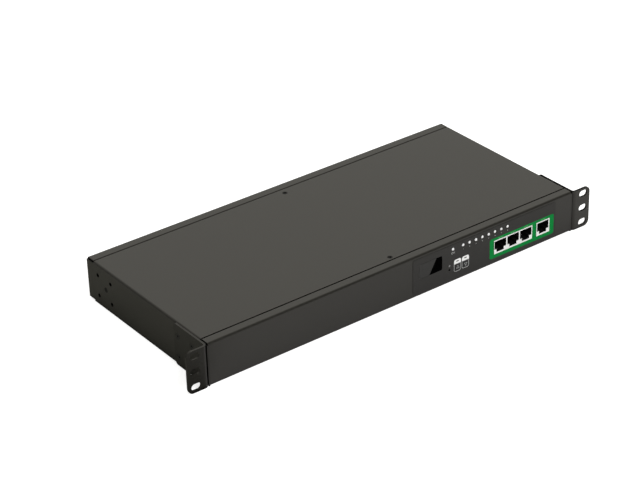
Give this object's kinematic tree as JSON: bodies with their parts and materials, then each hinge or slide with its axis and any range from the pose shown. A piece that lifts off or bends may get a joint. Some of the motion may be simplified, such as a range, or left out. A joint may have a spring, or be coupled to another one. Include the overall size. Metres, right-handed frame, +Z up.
{
  "type": "rack power distribution unit",
  "caption": "Flat black steel rack power distribution unit with slotted ears, a front control panel with display, lamps, keys and network ports, and switched outlets at the rear.",
  "frame": {"origin": "middle of the rack slots, on the ears' mounting face", "axes": "+X to the right as seen from the front, +Y back into the rack, +Z up; the control panel faces -Y"},
  "size_m": [0.4826, 0.2025, 0.0444],
  "materials": {
    "black_coat": "fine matt black powder coat on folded steel",
    "black_screw": "black oxide screws",
    "zinc_steel": "zinc-plated steel",
    "panel_film": "matt black printed film",
    "smoked_window": "smoked acrylic",
    "display_black": "black display block",
    "lamp_lens": "white lamp lens",
    "key_black": "black moulded key",
    "port_white": "white moulded housing",
    "contact_brass": "plated brass",
    "board_green": "solder-masked circuit board",
    "chip_black": "black moulded component",
    "relay_case": "blue moulded relay",
    "outlet_black": "black moulded outlet",
    "live_brown": "brown insulation",
    "neutral_blue": "blue insulation",
    "earth_green": "green insulation",
    "grey_cable": "grey insulation",
    "print_light": "light print on the film, the keys and the rear wall",
    "print_green": "green print round the ports"
  },
  "bodies": {
    "case": {"base_pan": "black_coat", "top_cover": "black_coat", "left_rack_ear": "black_coat", "right_rack_ear": "black_coat", "ear_screws": "black_screw", "cover_screws": "black_screw", "front_overlay": "panel_film", "display_window": "smoked_window", "display_module": "display_black", "status_lamp": "lamp_lens", "outlet_lamps": "lamp_lens", "key_switches": "chip_black", "display_board": "board_green", "display_spacers": "zinc_steel", "display_screws": "zinc_steel", "port_block": "port_white", "network_port": "port_white", "port_contacts": "contact_brass", "control_board": "board_green", "control_chips": "chip_black", "board_standoffs": "zinc_steel", "board_screws": "zinc_steel", "board_header": "chip_black", "outlet_contacts": "contact_brass", "power_inlet": "outlet_black", "inlet_pins": "contact_brass", "inlet_screws": "black_screw", "inlet_nuts": "zinc_steel", "relay_board": "board_green", "outlet_relays": "relay_case", "relay_brackets": "zinc_steel", "relay_bracket_screws": "zinc_steel", "current_sensor": "chip_black", "live_wire": "live_brown", "neutral_wire": "neutral_blue", "earth_wire": "earth_green", "earth_lug": "zinc_steel", "earth_stud": "zinc_steel", "earth_nut": "zinc_steel", "supply_board": "board_green", "supply_transformer": "chip_black", "supply_capacitors": "chip_black", "supply_feed_wires": "live_brown", "supply_lead": "grey_cable", "signal_ribbon": "grey_cable", "ribbon_plugs": "chip_black", "outlet_1": "outlet_black", "outlet_2": "outlet_black", "outlet_3": "outlet_black", "outlet_4": "outlet_black", "outlet_5": "outlet_black", "outlet_6": "outlet_black", "outlet_7": "outlet_black", "outlet_8": "outlet_black"},
    "up_key": {"up_key": "key_black", "up_key_plunger": "chip_black"},
    "down_key": {"down_key": "key_black", "down_key_plunger": "chip_black"},
    "reset_button": {"reset_plunger": "chip_black"}
  },
  "joints": [
    {"name": "up_key_press", "type": "slide", "parent": "case", "child": "up_key", "axis": [0, 1, 0], "range_m": [0, 0.0003], "stiffness_N_per_m": 3000},
    {"name": "down_key_press", "type": "slide", "parent": "case", "child": "down_key", "axis": [0, 1, 0], "range_m": [0, 0.0003], "stiffness_N_per_m": 3000},
    {"name": "reset_press", "type": "slide", "parent": "case", "child": "reset_button", "axis": [0, 1, 0], "range_m": [0, 0.0003], "stiffness_N_per_m": 3000}
  ]
}
